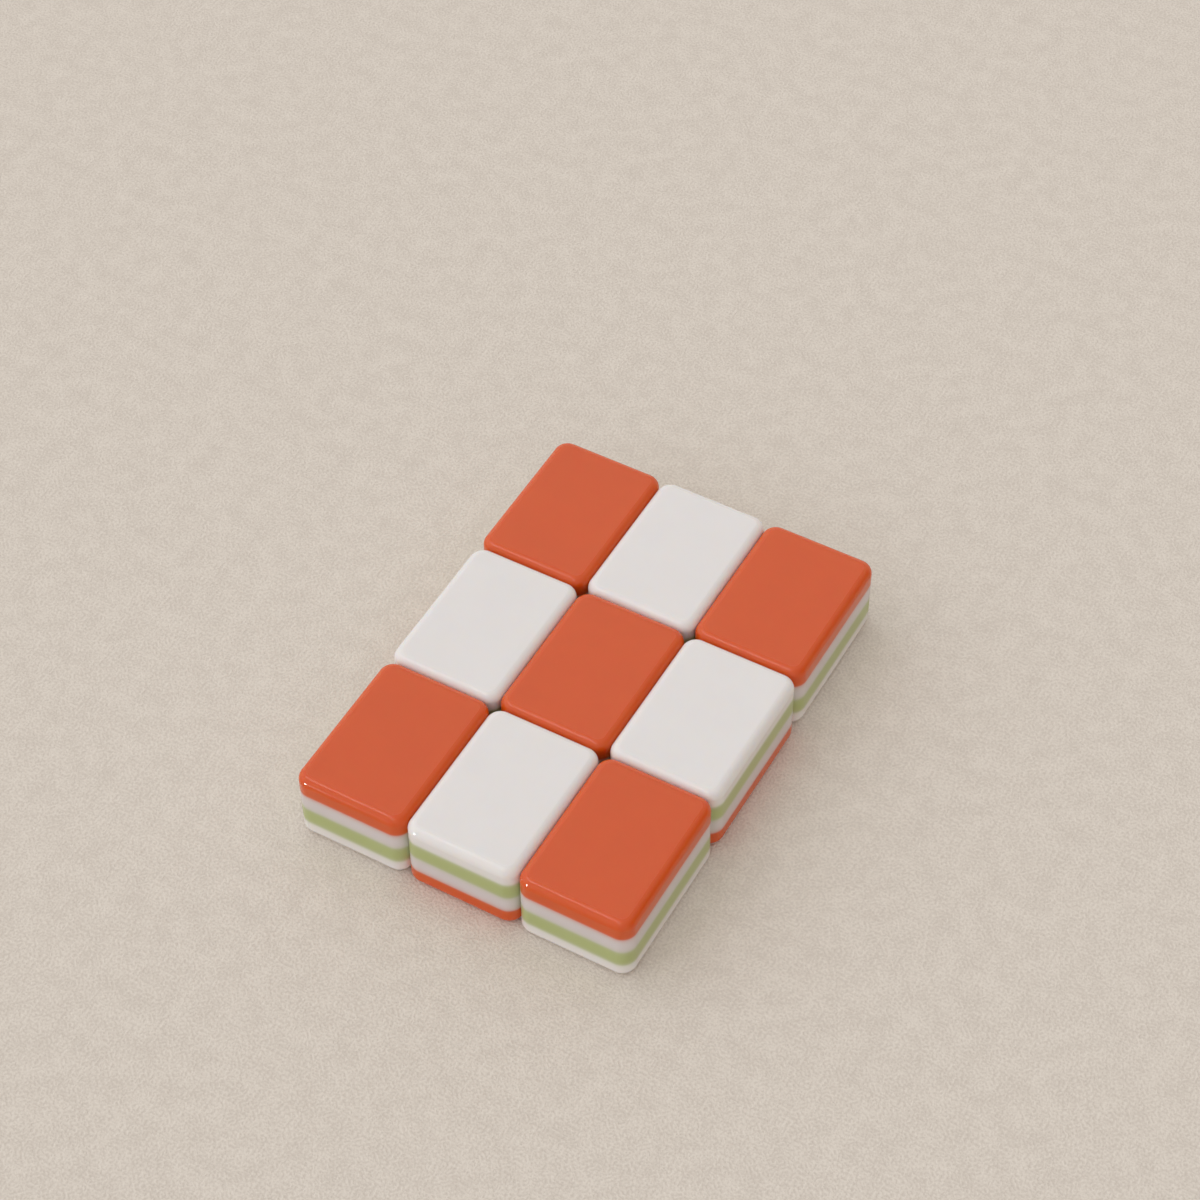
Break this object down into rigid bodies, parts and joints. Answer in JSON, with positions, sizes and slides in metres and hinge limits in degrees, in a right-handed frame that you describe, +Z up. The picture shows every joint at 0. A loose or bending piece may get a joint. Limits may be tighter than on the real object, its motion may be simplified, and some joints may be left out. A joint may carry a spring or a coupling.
{
  "type": "mahjong tile",
  "caption": "Blank mahjong tiles of four bonded plastic layers, laid edge to edge in a block, alternately face down and face up, each free to be picked up.",
  "frame": {"origin": "centre of the block's underside, on the surface that it lies on", "axes": "+X along the short sides of the tiles, from the left column to the right one; +Y along their long sides, from the near row to the far one; +Z up"},
  "size_m": [0.0662, 0.0932, 0.015],
  "materials": {
    "white_plastic": "tumble-polished opaque white acrylic",
    "green_plastic": "tumble-polished soft green acrylic",
    "milky_plastic": "tumble-polished milky translucent acrylic",
    "orange_plastic": "tumble-polished opaque orange acrylic"
  },
  "bodies": {
    "near_left_tile": {"near_left_white_face": "white_plastic", "near_left_green_layer": "green_plastic", "near_left_milky_layer": "milky_plastic", "near_left_orange_back": "orange_plastic"},
    "near_centre_tile": {"near_centre_white_face": "white_plastic", "near_centre_green_layer": "green_plastic", "near_centre_milky_layer": "milky_plastic", "near_centre_orange_back": "orange_plastic"},
    "near_right_tile": {"near_right_white_face": "white_plastic", "near_right_green_layer": "green_plastic", "near_right_milky_layer": "milky_plastic", "near_right_orange_back": "orange_plastic"},
    "middle_left_tile": {"middle_left_white_face": "white_plastic", "middle_left_green_layer": "green_plastic", "middle_left_milky_layer": "milky_plastic", "middle_left_orange_back": "orange_plastic"},
    "middle_centre_tile": {"middle_centre_white_face": "white_plastic", "middle_centre_green_layer": "green_plastic", "middle_centre_milky_layer": "milky_plastic", "middle_centre_orange_back": "orange_plastic"},
    "middle_right_tile": {"middle_right_white_face": "white_plastic", "middle_right_green_layer": "green_plastic", "middle_right_milky_layer": "milky_plastic", "middle_right_orange_back": "orange_plastic"},
    "far_left_tile": {"far_left_white_face": "white_plastic", "far_left_green_layer": "green_plastic", "far_left_milky_layer": "milky_plastic", "far_left_orange_back": "orange_plastic"},
    "far_centre_tile": {"far_centre_white_face": "white_plastic", "far_centre_green_layer": "green_plastic", "far_centre_milky_layer": "milky_plastic", "far_centre_orange_back": "orange_plastic"},
    "far_right_tile": {"far_right_white_face": "white_plastic", "far_right_green_layer": "green_plastic", "far_right_milky_layer": "milky_plastic", "far_right_orange_back": "orange_plastic"}
  },
  "joints": [
    {"name": "near_left_lift", "type": "slide", "parent": "middle_centre_tile", "child": "near_left_tile", "axis": [0, 0, 1], "range_m": [0, 0.025]},
    {"name": "near_centre_lift", "type": "slide", "parent": "middle_centre_tile", "child": "near_centre_tile", "axis": [0, 0, 1], "range_m": [0, 0.025]},
    {"name": "near_right_lift", "type": "slide", "parent": "middle_centre_tile", "child": "near_right_tile", "axis": [0, 0, 1], "range_m": [0, 0.025]},
    {"name": "middle_left_lift", "type": "slide", "parent": "middle_centre_tile", "child": "middle_left_tile", "axis": [0, 0, 1], "range_m": [0, 0.025]},
    {"name": "middle_right_lift", "type": "slide", "parent": "middle_centre_tile", "child": "middle_right_tile", "axis": [0, 0, 1], "range_m": [0, 0.025]},
    {"name": "far_left_lift", "type": "slide", "parent": "middle_centre_tile", "child": "far_left_tile", "axis": [0, 0, 1], "range_m": [0, 0.025]},
    {"name": "far_centre_lift", "type": "slide", "parent": "middle_centre_tile", "child": "far_centre_tile", "axis": [0, 0, 1], "range_m": [0, 0.025]},
    {"name": "far_right_lift", "type": "slide", "parent": "middle_centre_tile", "child": "far_right_tile", "axis": [0, 0, 1], "range_m": [0, 0.025]}
  ]
}
